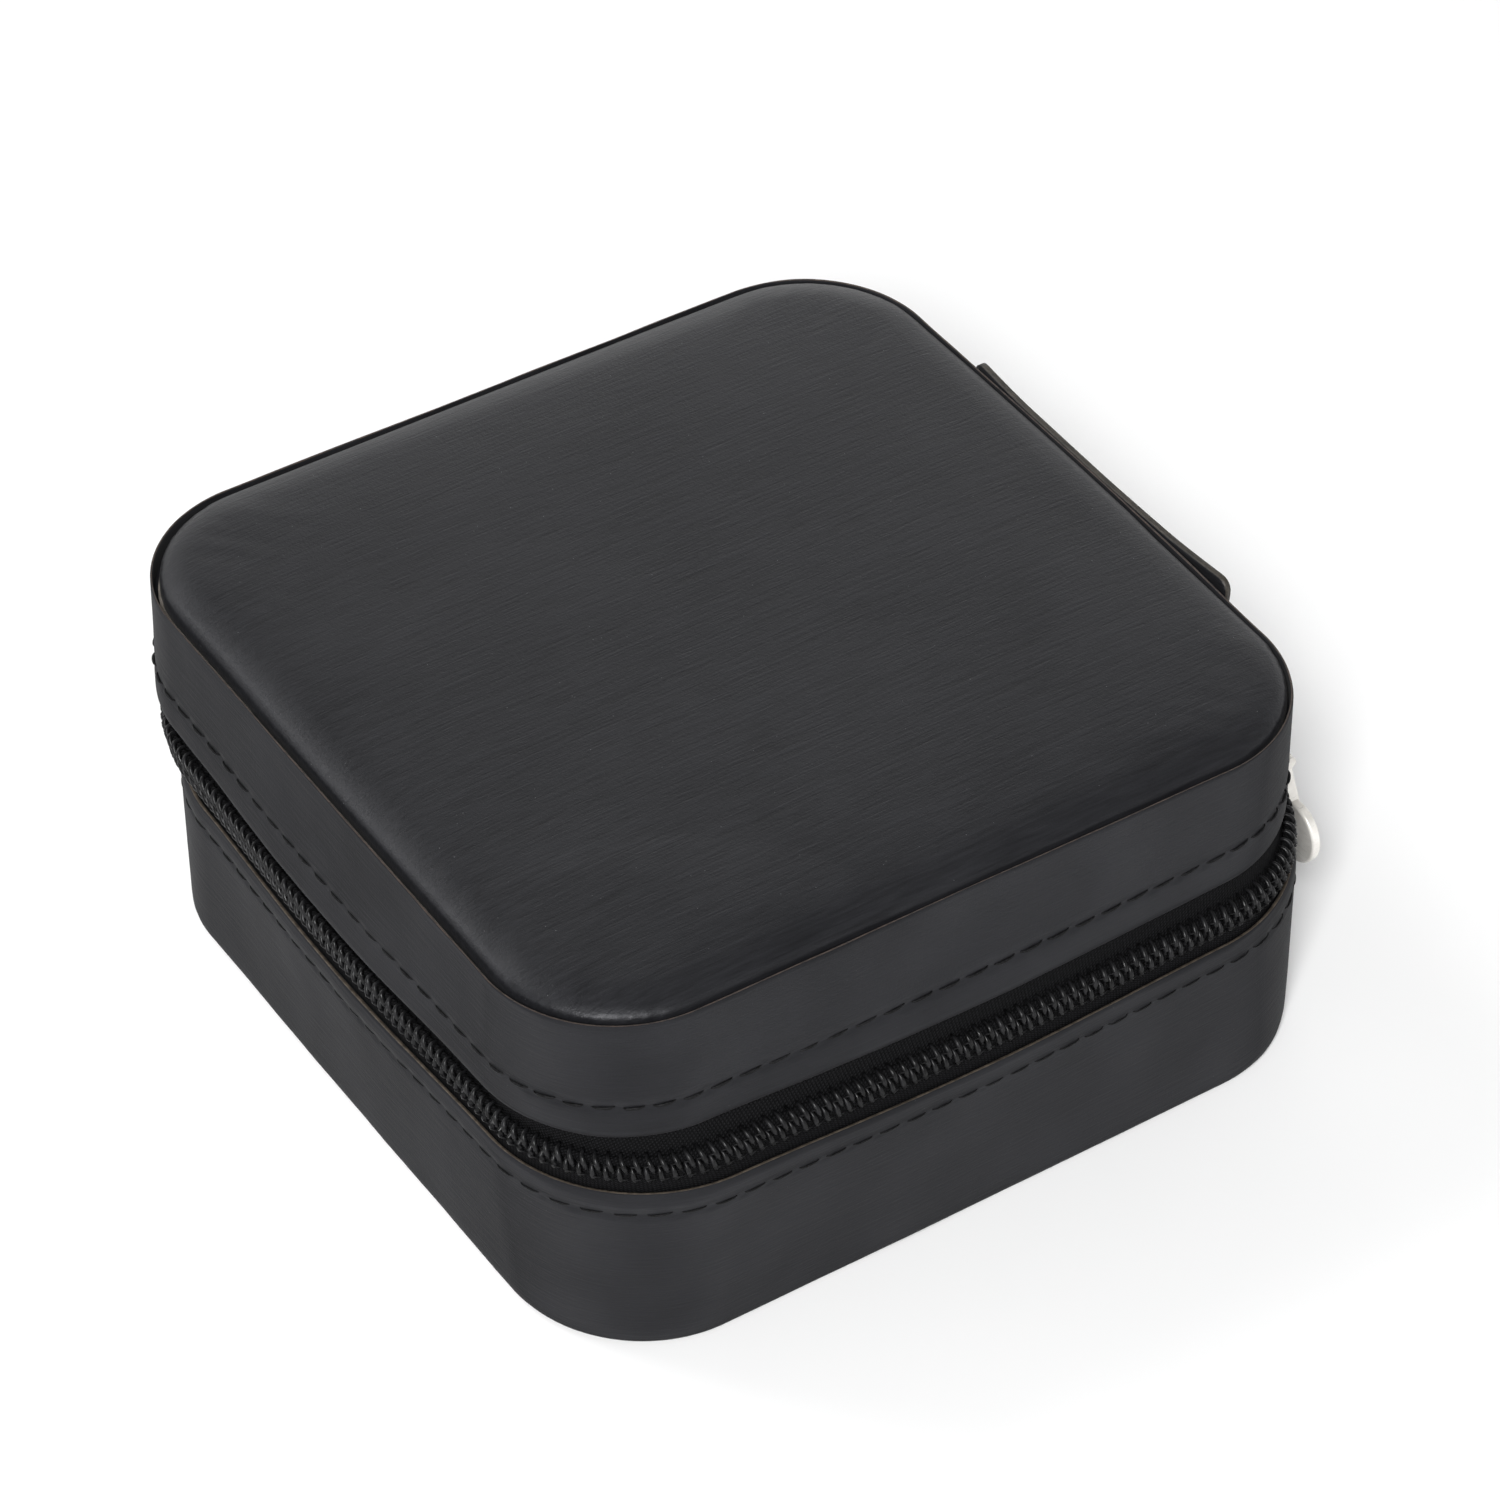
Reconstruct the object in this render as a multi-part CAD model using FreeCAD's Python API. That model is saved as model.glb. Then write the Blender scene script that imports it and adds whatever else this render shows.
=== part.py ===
import FreeCAD, Part
import math
import os

from FreeCAD import Vector

# Zipped leather travel jewellery case, closed.
# Frame: origin at the middle of the resting face, +Z up, +Y towards the hinge
# side, -Y the front, +X the side on which the closed zip ends.  Millimetres.

# ---------------------------------------------------------------- sizes
# Each outline is a rounded rectangle: (height z, width x, depth y, corner radius).
BASE_FOOT = (0.0, 98.0, 99.6, 17.0)
BASE_EDGE = (22.7, 100.4, 102.4, 20.5)      # upper leather edge of the base
LID_EDGE = (29.1, 101.4, 101.6, 17.8)       # lower leather edge of the lid
LID_RIM = (45.0, 100.0, 100.8, 16.4)        # top edge of the lid's side wall
CROWN_Z = 46.6                              # highest point of the padded top
CHAIN_Z = 25.9                              # where the two zip halves meet
LID_SHIFT = -4.1                            # closed lid sits this far along X
BEND_Z = 27.6                               # above this the tape leans in under the lid

LEATHER = 1.0
BOARD = 2.0
TAPE = 0.6
LINING = 0.8
GAP = 0.05                                  # glue line between layers
HEM_LIFT = 0.2                              # side leather's hem above the resting face
BOARD_SHORT = 0.3                           # wall boards stop this far from the leather edges
TAPE_INSET = LEATHER + GAP
BOARD_INSET = TAPE_INSET + TAPE + 2 * GAP
LINING_INSET = BOARD_INSET + BOARD + GAP
TAPE_BURIED = 4.8                           # tape sewn in behind each leather edge
REAR_Y = 45.0                               # everything past this belongs to the rear face

COIL_WIDTH = 2.23                           # one half of the chain, along Z
COIL_PROUD = 0.1                            # coil stands out past the leather line
CHAIN_END_X = 31.0                          # last tooth, on the +X rear corner
CHAIN_START_X = -30.0                       # first tooth, on the rear face
TAPE_SPREAD = 1.9                           # half the gap between tapes past the chain
STOP_LENGTH = 2.2                           # bottom stop, clamped over the first teeth
STOP_DEEP = 1.5
STOP_HALF_HEIGHT = 2.1

STRAP_LENGTH = 47.5
STRAP_CENTRE_X = -3.0
STRAP_THICK = 1.2
STRAP_Y = 51.25
STRAP_Z = (8.0, 44.7)
STRAP_CORNER = 4.0
STRAP_OVERLAP = 1.0                         # strap covers the ends of the zip tapes

SLIDER_ANGLE = (80.0, 98.0)                 # arc taken by the slider at rest
SLIDER_HALF_HEIGHT = 2.9                    # outer plate
INNER_HALF_HEIGHT = 1.7                     # inner plate, hidden behind the tapes
PLATE = 1.0
PLATE_CLEAR = 0.35                          # plate to coil, and plate to tape
NECK_HALF_HEIGHT = 1.3
NECK_ARC = 2.5                              # degrees
LIP = 0.55                                  # turned-in edges of the outer plate
LIP_CLEAR = 0.2
PIN_X = 30.1                                # middle of the bar that the pull hangs from
PIN_OUT = 0.95                              # the bar beyond the outer plate
PIN_HALF_LENGTH = 2.3
PIN_R = 0.5
PIN_CLEAR = 0.05
CHEEK = 0.6                                 # cheeks that hold the bar
KNUCKLE_R = 0.8
BARREL_R = 0.85                             # the pull's eye
BARREL_HALF_LENGTH = 1.5
PULL_THICK = 1.2
PULL_NECK = 2.4                             # width of the pull between eye and disc
PULL_DISC = (34.3, 17.4)                    # middle of the disc, X and Z
PULL_DISC_R = 4.0
PULL_HOLE_R = 1.0

TRAY_HALF = (45.1, 46.0)                    # outside of the inner tray, X and Y
TRAY_R = 15.0
TRAY_WALL = 1.6
TRAY_FLOOR_Z = 3.05
TRAY_TOP_Z = 28.4
FLOOR_TOP_Z = TRAY_FLOOR_Z + TRAY_WALL

ROLL_COUNT = 6
ROLL_R = 7.0
ROLL_TOP_Z = 19.0
ROLL_CLEAR = 0.2                            # rolls to the walls round them
CROSS_WALL_X = (-2.0, -0.4)
WALL_TOP_Z = 19.0
DIVIDER_THICK = 2.4
DIVIDER_Y = 15.0
DIVIDER_CLEAR = 0.3

MIRROR_SIZE = 63.4
MIRROR_THICK = 1.8
MIRROR_Z = 37.9
MIRROR_CORNER = 6.0
FRAME_Z = (37.4, 39.75)
FRAME_INSET = 5.2
TOP_BOARD_Z = (41.1, 43.1)
CUSHION_INSET = LEATHER + 0.5
CUSHION_SKIN = 0.9
# Padded top: share of its height, and how far its outline has drawn in by then.
CUSHION_STEPS = ((0.0, 0.0), (0.42, 0.0), (0.72, 1.6), (0.9, 6.0), (1.0, 18.0))
CUSHION_LEAST_R = 8.0
FAR = 200.0
ALONG = Vector(1, 0, 0)


# ---------------------------------------------------------------- helpers
def between(low, high, z):
    """Outline at height z on the straight taper from low to high."""
    t = (z - low[0]) / (high[0] - low[0])
    return tuple(a + (b - a) * t for a, b in zip(low, high))


def outline(width, depth, radius, z, cx=0.0, cy=0.0):
    """Rounded rectangle as a wire of four lines and four arcs."""
    hx = width / 2 - radius
    hy = depth / 2 - radius
    edges = []
    for sx, sy, start in ((1, 1, 0), (-1, 1, 90), (-1, -1, 180), (1, -1, 270)):
        centre = Vector(cx + sx * hx, cy + sy * hy, z)
        points = []
        for turn in (0, 45, 90):
            a = math.radians(start + turn)
            points.append(centre + Vector(radius * math.cos(a), radius * math.sin(a), 0))
        edges.append(Part.Arc(*points).toShape())
    wires = []
    for i, arc in enumerate(edges):
        wires.append(arc)
        end = arc.Vertexes[-1].Point
        start = edges[(i + 1) % 4].Vertexes[0].Point
        wires.append(Part.makeLine(end, start))
    return Part.Wire(wires)


def base_section(z, inset):
    """Base outline at height z, moved in by inset; upright above its edge."""
    _, w, d, r = between(BASE_FOOT, BASE_EDGE, min(z, BASE_EDGE[0]))
    return outline(w - 2 * inset, d - 2 * inset, r - inset, z)


def lid_section(z, inset):
    """Lid outline at height z, moved in by inset."""
    _, w, d, r = between(LID_EDGE, LID_RIM, z)
    return outline(w - 2 * inset, d - 2 * inset, r - inset, z, LID_SHIFT)


def band_section(z, inset):
    """Zip band outline: the base's up to the chain, then leaning to the lid's."""
    if z <= BEND_Z:
        return base_section(z, inset)
    if z >= LID_EDGE[0]:
        return lid_section(z, inset)
    low = (BEND_Z,) + BASE_EDGE[1:]
    t = (z - BEND_Z) / (LID_EDGE[0] - BEND_Z)
    _, w, d, r = between(low, LID_EDGE, z)
    return outline(w - 2 * inset, d - 2 * inset, r - inset, z, LID_SHIFT * t)


def solid(section, heights, inset):
    """Solid through the section's outlines at the given heights."""
    wires = [section(z, inset) for z in heights]
    return Part.makeLoft(wires, True, True)


def ring(section, heights, outer, inner):
    """Wall between two insets of one section."""
    return solid(section, heights, outer).cut(solid(section, heights, inner))


def prism(width, depth, radius, z0, z1, cx=0.0, cy=0.0):
    face = Part.Face(outline(width, depth, radius, z0, cx, cy))
    return face.extrude(Vector(0, 0, z1 - z0))


def box(x0, x1, y0, y1, z0, z1):
    return Part.makeBox(x1 - x0, y1 - y0, z1 - z0, Vector(x0, y0, z0))


def sector(r0, r1, z0, z1, a0, a1):
    """Part of a ring about the +X rear corner of the zip's path."""
    foot = Vector(CORNER[0], CORNER[1], z0)
    up = Vector(0, 0, 1)
    outer = Part.makeCylinder(r1, z1 - z0, foot, up, a1 - a0)
    inner = Part.makeCylinder(r0, z1 - z0, foot, up, a1 - a0)
    wedge = outer.cut(inner)
    wedge.rotate(foot, up, a0)
    return wedge


def save(name, shape):
    shape.exportStep("parts/%s.step" % name)
    size = shape.BoundBox
    print("%-20s solids %d valid %s  x %.2f %.2f y %.2f %.2f z %.2f %.2f" % (
        name, len(shape.Solids), shape.isValid(), size.XMin, size.XMax,
        size.YMin, size.YMax, size.ZMin, size.ZMax))


CORNER = (BASE_EDGE[1] / 2 - BASE_EDGE[3], BASE_EDGE[2] / 2 - BASE_EDGE[3])
TAPE_R = BASE_EDGE[3] - TAPE_INSET          # outer face of the tape on the corner
COIL_R = BASE_EDGE[3] + COIL_PROUD


# ---------------------------------------------------------------- base
def base_parts():
    edge = BASE_EDGE[0]
    pocket = edge - TAPE_BURIED
    outer = solid(base_section, (HEM_LIFT, edge), 0)
    hollow = solid(base_section, (0.0, pocket), BOARD_INSET - GAP)
    mouth = solid(base_section, (pocket, edge + 1), LEATHER)
    save("base_side_leather", outer.cut(hollow).cut(mouth))
    save("base_bottom_leather", solid(base_section, (0.0, LEATHER), BOARD_INSET))
    save("base_bottom_board",
         solid(base_section, (LEATHER + GAP, LEATHER + BOARD), BOARD_INSET))
    wall = (TRAY_FLOOR_Z, edge - BOARD_SHORT)
    save("base_wall_board", ring(base_section, wall, BOARD_INSET, BOARD_INSET + BOARD))


def tray_inside(z0, z1, clear=0.0):
    """The hollow of the inner tray, less a clearance."""
    cut = TRAY_WALL + clear
    return prism(2 * (TRAY_HALF[0] - cut), 2 * (TRAY_HALF[1] - cut), TRAY_R - cut, z0, z1)


def tray_parts():
    width, depth = 2 * TRAY_HALF[0], 2 * TRAY_HALF[1]
    save("tray_floor", prism(width, depth, TRAY_R, TRAY_FLOOR_Z, FLOOR_TOP_Z - GAP))
    walls = prism(width, depth, TRAY_R, FLOOR_TOP_Z, TRAY_TOP_Z)
    top = TRAY_TOP_Z - TRAY_WALL / 2
    walls = walls.cut(tray_inside(FLOOR_TOP_Z - 1, TRAY_TOP_Z + 1))
    upper_edges = [e for e in walls.Edges if e.BoundBox.ZMin > top]
    save("tray_wall", walls.makeFillet(TRAY_WALL * 0.4, upper_edges))

    inside = tray_inside(FLOOR_TOP_Z, WALL_TOP_Z, GAP)
    cross = box(*CROSS_WALL_X, -FAR, FAR, FLOOR_TOP_Z, WALL_TOP_Z)
    save("tray_cross_wall", cross.common(inside))

    pitch = 2 * (TRAY_HALF[1] - TRAY_WALL) / ROLL_COUNT
    room = tray_inside(FLOOR_TOP_Z, ROLL_TOP_Z + 1, ROLL_CLEAR)
    rolls = []
    for i in range(ROLL_COUNT):
        y = (i - (ROLL_COUNT - 1) / 2) * pitch
        left = -TRAY_HALF[0]
        length = CROSS_WALL_X[0] - ROLL_CLEAR - left
        top_z = ROLL_TOP_Z - ROLL_R
        round_top = Part.makeCylinder(ROLL_R, length, Vector(left, y, top_z), Vector(1, 0, 0))
        foot = box(left, left + length, y - ROLL_R, y + ROLL_R, FLOOR_TOP_Z, top_z)
        rolls.append(round_top.fuse(foot).removeSplitter().common(room))
    save("ring_rolls", Part.makeCompound([s for r in rolls for s in r.Solids]))

    room = tray_inside(FLOOR_TOP_Z, WALL_TOP_Z, DIVIDER_CLEAR)
    for name, y in (("divider_front", -DIVIDER_Y), ("divider_rear", DIVIDER_Y)):
        plate = box(CROSS_WALL_X[1] + DIVIDER_CLEAR, FAR, y - DIVIDER_THICK / 2,
                    y + DIVIDER_THICK / 2, FLOOR_TOP_Z + GAP, WALL_TOP_Z)
        plate = plate.common(room)
        tops = [e for e in plate.Edges
                if e.BoundBox.ZMin > WALL_TOP_Z - GAP and e.BoundBox.XLength > DIVIDER_THICK]
        save(name, plate.makeFillet(DIVIDER_THICK * 0.4, tops))


# ---------------------------------------------------------------- lid
def lid_parts():
    edge, rim = LID_EDGE[0], LID_RIM[0]
    pocket = edge + TAPE_BURIED
    outer = solid(lid_section, (edge, rim), 0)
    hollow = solid(lid_section, (pocket, TOP_BOARD_Z[0]), BOARD_INSET - GAP)
    upper = solid(lid_section, (TOP_BOARD_Z[0], rim + 1), LEATHER)
    mouth = solid(lid_section, (edge - 1, pocket), LEATHER)
    save("lid_side_leather", outer.cut(hollow).cut(upper).cut(mouth))
    wall = (edge + BOARD_SHORT, TOP_BOARD_Z[0] - GAP)
    save("lid_wall_board", ring(lid_section, wall, BOARD_INSET, BOARD_INSET + BOARD))
    save("lid_wall_lining", ring(lid_section, wall, LINING_INSET, LINING_INSET + LINING))
    save("lid_top_board", solid(lid_section, TOP_BOARD_Z, LEATHER + 2 * GAP))

    z0 = TOP_BOARD_Z[1] + GAP
    cover = cushion(0, z0, CROWN_Z)
    foam_room = cushion(CUSHION_SKIN, z0, CROWN_Z - CUSHION_SKIN)
    save("lid_top_leather", cover.cut(foam_room))
    save("lid_foam", cushion(CUSHION_SKIN + GAP, z0, CROWN_Z - CUSHION_SKIN - GAP))

    ceiling = (FRAME_Z[1] + GAP, TOP_BOARD_Z[0] - GAP)
    inset = LINING_INSET + LINING + GAP
    save("lid_ceiling_lining", solid(lid_section, ceiling, inset))
    hole = MIRROR_SIZE + 2 * DIVIDER_CLEAR
    frame = solid(lid_section, FRAME_Z, FRAME_INSET)
    hole = prism(hole, hole, MIRROR_CORNER + DIVIDER_CLEAR, FRAME_Z[0] - 1,
                 FRAME_Z[1] + 1, LID_SHIFT)
    save("mirror_frame", frame.cut(hole))
    save("mirror", prism(MIRROR_SIZE, MIRROR_SIZE, MIRROR_CORNER, MIRROR_Z,
                         MIRROR_Z + MIRROR_THICK, LID_SHIFT))


def cushion(layer, z0, z1):
    """Crowned pad, layer inside its skin: upright skirt, then shrinking outlines."""
    wires = []
    for rise, draw in CUSHION_STEPS:
        _, w, d, r = LID_RIM
        cut = CUSHION_INSET + layer + draw
        radius = max(r - CUSHION_INSET - layer - draw * 0.4, CUSHION_LEAST_R)
        wires.append(outline(w - 2 * cut, d - 2 * cut, radius, z0 + (z1 - z0) * rise, LID_SHIFT))
    return Part.makeLoft(wires, True, True)


# ---------------------------------------------------------------- zip and hinge
def zip_parts():
    strap_x = (STRAP_CENTRE_X - STRAP_LENGTH / 2, STRAP_CENTRE_X + STRAP_LENGTH / 2)
    buried = BASE_EDGE[0] - TAPE_BURIED
    top = LID_EDGE[0] + TAPE_BURIED
    lower = (buried + GAP, BASE_EDGE[0], CHAIN_Z - GAP / 2)
    upper = (CHAIN_Z + GAP / 2, BEND_Z, LID_EDGE[0], top - GAP)
    x0, x1 = strap_x[0] + STRAP_OVERLAP, strap_x[1] - STRAP_OVERLAP
    under_strap = box(x0, x1, REAR_Y, FAR, 0, FAR)
    spread = box(x1, CHAIN_END_X, REAR_Y, FAR, CHAIN_Z - TAPE_SPREAD, CHAIN_Z + TAPE_SPREAD)
    faces = (TAPE_INSET, TAPE_INSET + TAPE)
    save("zip_tape_lower", ring(band_section, lower, *faces).cut(under_strap).cut(spread))
    save("zip_tape_upper", ring(band_section, upper, *faces).cut(under_strap).cut(spread))

    joined = ring(band_section, (buried + GAP, BASE_EDGE[0], BEND_Z, LID_EDGE[0], top - GAP),
                  *faces)
    room = box(x0 + ROLL_CLEAR, x1 - ROLL_CLEAR, REAR_Y, FAR, 0, FAR)
    save("hinge_tape", joined.common(room))

    past_chain = box(CHAIN_START_X, CHAIN_END_X, REAR_Y, FAR, 0, FAR)
    for name, heights in (
            ("zip_coil_lower", (CHAIN_Z - GAP / 2 - COIL_WIDTH, CHAIN_Z - GAP / 2)),
            ("zip_coil_upper", (CHAIN_Z + GAP / 2, BEND_Z, CHAIN_Z + GAP / 2 + COIL_WIDTH))):
        chain = ring(band_section, heights, -COIL_PROUD, TAPE_INSET - GAP)
        save(name, chain.cut(past_chain))

    y = BASE_EDGE[2] / 2 - TAPE_INSET
    x = CHAIN_START_X + DIVIDER_CLEAR
    save("zip_bottom_stop", box(x, x + STOP_LENGTH, y + GAP, y + STOP_DEEP,
                                CHAIN_Z - STOP_HALF_HEIGHT, CHAIN_Z + STOP_HALF_HEIGHT))

    strap = outline(STRAP_LENGTH, STRAP_Z[1] - STRAP_Z[0], STRAP_CORNER, 0)
    strap = Part.Face(strap).extrude(Vector(0, 0, STRAP_THICK))
    strap.rotate(Vector(0, 0, 0), Vector(1, 0, 0), 90)
    strap.translate(Vector(STRAP_CENTRE_X, STRAP_Y + STRAP_THICK, sum(STRAP_Z) / 2))
    save("hinge_strap", strap)


def slider_parts():
    low, high = CHAIN_Z - SLIDER_HALF_HEIGHT, CHAIN_Z + SLIDER_HALF_HEIGHT
    a0, a1 = SLIDER_ANGLE
    outer_r = COIL_R + PLATE_CLEAR
    inner_r = TAPE_R - TAPE - PLATE_CLEAR
    front = sector(outer_r, outer_r + PLATE, low, high, a0, a1)
    back = sector(inner_r - PLATE, inner_r, CHAIN_Z - INNER_HALF_HEIGHT,
                  CHAIN_Z + INNER_HALF_HEIGHT, a0, a1)
    neck = sector(inner_r - PLATE / 2, outer_r + PLATE / 2, CHAIN_Z - NECK_HALF_HEIGHT,
                  CHAIN_Z + NECK_HALF_HEIGHT, a1 - NECK_ARC, a1)
    lips = [sector(TAPE_R + LIP_CLEAR, outer_r + PLATE / 2, z, z + LIP, a0, a1)
            for z in (low, high - LIP)]
    bar_y = CORNER[1] + outer_r + PLATE + PIN_OUT
    bar = Part.makeCylinder(PIN_R, 2 * PIN_HALF_LENGTH,
                            Vector(PIN_X - PIN_HALF_LENGTH, bar_y, CHAIN_Z), ALONG)
    body = front
    for piece in [back, neck, bar] + lips:
        body = body.fuse(piece)
    for x in (PIN_X - PIN_HALF_LENGTH, PIN_X + PIN_HALF_LENGTH - CHEEK):
        root = box(x, x + CHEEK, bar_y - PIN_OUT - PLATE / 2, bar_y,
                   CHAIN_Z - KNUCKLE_R, CHAIN_Z + KNUCKLE_R)
        knuckle = Part.makeCylinder(KNUCKLE_R, CHEEK, Vector(x, bar_y, CHAIN_Z), ALONG)
        body = body.fuse(root).fuse(knuckle)
    save("slider_body", body.removeSplitter())

    eye = Vector(PIN_X, bar_y, CHAIN_Z)
    barrel = Part.makeCylinder(BARREL_R, 2 * BARREL_HALF_LENGTH,
                               eye - ALONG * BARREL_HALF_LENGTH, ALONG)
    bore = Part.makeCylinder(PIN_R + PIN_CLEAR, 4 * BARREL_HALF_LENGTH,
                             eye - ALONG * 2 * BARREL_HALF_LENGTH, ALONG)
    back_y = bar_y - PULL_THICK / 2
    through = Vector(0, 1, 0)
    middle = Vector(PULL_DISC[0], back_y, PULL_DISC[1])
    disc = Part.makeCylinder(PULL_DISC_R, PULL_THICK, middle, through)
    disc = disc.makeFillet(PULL_THICK * 0.3, disc.Edges[0::2])
    hole = Part.makeCylinder(PULL_HOLE_R, 4 * PULL_THICK, middle - through * PULL_THICK, through)
    reach = math.hypot(PULL_DISC[0] - PIN_X, PULL_DISC[1] - CHAIN_Z)
    lean = math.degrees(math.atan2(PULL_DISC[0] - PIN_X, CHAIN_Z - PULL_DISC[1]))
    neck = box(-PULL_NECK / 2, PULL_NECK / 2, 0, PULL_THICK, -reach, 0)
    neck.rotate(Vector(0, 0, 0), through, -lean)
    neck.translate(Vector(PIN_X, back_y, CHAIN_Z))
    tab = barrel.fuse(neck).fuse(disc).cut(bore).cut(hole)
    save("pull_tab", tab.removeSplitter())
    print("slider axis %.3f %.3f, pull bar %.3f %.3f" % (CORNER + (PIN_X, bar_y)))


os.makedirs("parts", exist_ok=True)
base_parts()
tray_parts()
lid_parts()
zip_parts()
slider_parts()
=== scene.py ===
import math

import bmesh
import bpy
import numpy as np
from mathutils import Matrix, Vector, noise


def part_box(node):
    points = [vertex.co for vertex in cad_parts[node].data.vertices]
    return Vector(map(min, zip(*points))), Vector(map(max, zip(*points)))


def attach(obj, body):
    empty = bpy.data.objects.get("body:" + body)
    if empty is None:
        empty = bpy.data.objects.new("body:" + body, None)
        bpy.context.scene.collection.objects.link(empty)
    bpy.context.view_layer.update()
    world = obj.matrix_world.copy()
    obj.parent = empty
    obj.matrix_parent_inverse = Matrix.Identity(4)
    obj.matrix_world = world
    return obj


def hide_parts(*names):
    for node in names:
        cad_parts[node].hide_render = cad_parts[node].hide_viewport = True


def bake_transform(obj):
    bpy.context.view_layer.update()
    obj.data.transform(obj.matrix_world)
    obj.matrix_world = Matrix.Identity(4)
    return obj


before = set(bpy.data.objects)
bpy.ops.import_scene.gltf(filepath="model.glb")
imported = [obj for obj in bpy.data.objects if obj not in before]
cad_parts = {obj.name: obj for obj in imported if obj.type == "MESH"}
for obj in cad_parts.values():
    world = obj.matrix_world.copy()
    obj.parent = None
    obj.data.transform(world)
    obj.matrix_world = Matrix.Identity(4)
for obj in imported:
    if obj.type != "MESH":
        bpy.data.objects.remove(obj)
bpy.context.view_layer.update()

# Leather travel jewellery case.  Shapes are worked out in millimetres in the CAD frame and
# written to Blender in metres.
#
# Every outline is a rounded square given by eight values: half width, half depth, corner
# radius, centre x, outward bow of the sides, bow of the rear, centre y and turn.  base_shape,
# lid_shape and band_shape give them for a height; place() turns a distance round the case, a
# height and a distance out from the outline into a point.
MM = 0.001


def box_mm(node):
    low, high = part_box(node)
    return np.array(low) / MM, np.array(high) / MM


# ------------------------------------------------------------------ sizes from the frame
base_low, base_high = box_mm("base_side_leather")
lid_low, lid_high = box_mm("lid_side_leather")
EDGE_Z = base_high[2]
LID_Z = lid_low[2]
RIM_Z = lid_high[2]
CROWN_Z = box_mm("lid_top_leather")[1][2]
CHAIN_Z = (box_mm("zip_coil_lower")[1][2] + box_mm("zip_coil_upper")[0][2]) / 2
SHIFT = (lid_low[0] + lid_high[0]) / 2
STRAP_LOW, STRAP_HIGH = box_mm("hinge_strap")

# Outlines: height, half width, half depth, corner radius.
FOOT = (0.0, base_high[0] - 0.5, base_high[1] - 1.0, 16.9)
EDGE = (EDGE_Z, base_high[0] - 0.25, base_high[1] + 0.2, 20.0)
LID_EDGE = (LID_Z, (lid_high[0] - lid_low[0]) / 2, lid_high[1], 17.6)
RIM = (RIM_Z, LID_EDGE[1] - 0.7, LID_EDGE[2] - 0.3, 16.4)
BASE_BOW = 0.93          # how far the soft edges at the zip bow out between the corners
LID_BOW = 1.2
REAR_BOW = 0.15          # the strap keeps the rear straight
LID_REAR_BOW = 0.4
LID_TURN = math.radians(-0.37)
LID_BACK = 0.14
# The tape leans from the base to the lid, so the chain's outline lies between theirs.
CHAIN = (EDGE[1] + 1.2, EDGE[2] - 0.5, 18.8, -2.25, 0.75, REAR_BOW, 0.05, LID_TURN / 2)
PAD_SHIFT = (-0.18, 0.4) # the padded top sits a little toward -X and the rear of its rim

STITCH = 3.4             # stitch pitch
LID_STITCH_Z = LID_Z + 4.3
BASE_STITCH_Z = EDGE_Z - 2.8
TOOTH = 1.37             # zip tooth pitch
COIL_Z = CHAIN_Z - 0.2   # middle of the coil, a little low on the tape

# ------------------------------------------------------------------ the path round the case
SIDE = 64.0
TURN = math.pi / 2 * 18.0
LENGTHS = np.array([SIDE / 2, TURN, SIDE, TURN, SIDE, TURN, SIDE, TURN, SIDE / 2])
ENDS = np.cumsum(LENGTHS)
AROUND = ENDS[-1]
CORNERS = {1: (-1, 1, 90), 3: (-1, -1, 180), 5: (1, -1, 270), 7: (1, 1, 0)}


def mix(a, b, t):
    return tuple(p + (q - p) * t for p, q in zip(a, b))


def base_shape(z):
    t = np.clip(z / EDGE_Z, 0, 1)
    _, hx, hy, r = mix(FOOT, EDGE, t)
    return hx, hy, r, 0 * t, BASE_BOW * t ** 1.6 + 0.1, REAR_BOW * t, 0 * t, 0 * t


def lid_shape(z):
    t = np.clip((RIM_Z - z) / (RIM_Z - LID_Z), 0, 1.2)
    _, hx, hy, r = mix(RIM, LID_EDGE, t)
    return (hx, hy, r, SHIFT + 0 * t, LID_BOW * t ** 1.6, LID_REAR_BOW - 0.2 * t,
            LID_BACK + 0 * t, LID_TURN + 0 * t)


def band_shape(z):
    """Between the two leather edges: up to the line of the chain, then in under the lid."""
    z = np.asarray(z, float)
    low, high = base_shape(np.full(z.shape, EDGE_Z)), lid_shape(np.full(z.shape, LID_Z))
    t_low = np.clip((z - EDGE_Z) / (CHAIN_Z - EDGE_Z), 0, 1)
    t_high = np.clip((z - CHAIN_Z) / (LID_Z - CHAIN_Z), 0, 1)
    return mix(mix(low, CHAIN, t_low), high, t_high)


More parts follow.
